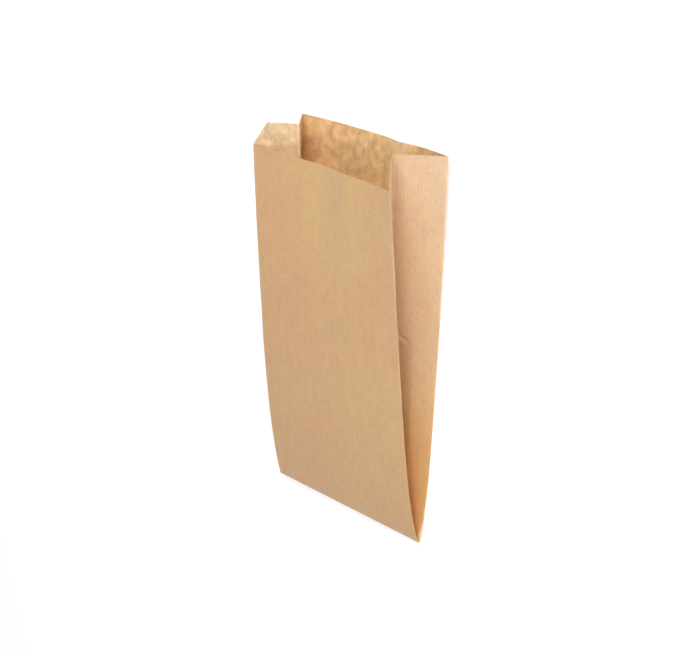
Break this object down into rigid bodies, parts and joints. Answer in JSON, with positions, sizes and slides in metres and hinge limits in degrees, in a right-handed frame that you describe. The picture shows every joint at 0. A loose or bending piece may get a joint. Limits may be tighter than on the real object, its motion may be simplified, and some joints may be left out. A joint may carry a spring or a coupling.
{
  "type": "paper lunch bag",
  "caption": "Empty brown kraft paper lunch bag with ribbed paper, folded side gussets and a glued bottom edge, lying on its back with the mouth held open.",
  "frame": {"origin": "middle of the base of the bag's box, on the surface that its back panel lies on", "axes": "+X to the bag's right seen from the front, +Y from the bottom fold to the mouth, +Z from the back panel to the front panel"},
  "size_m": [0.1402, 0.2198, 0.0417],
  "materials": {
    "kraft_paper": "matt ribbed brown kraft paper"
  },
  "bodies": {
    "root": {"paper_bag": "kraft_paper"}
  },
  "joints": []
}
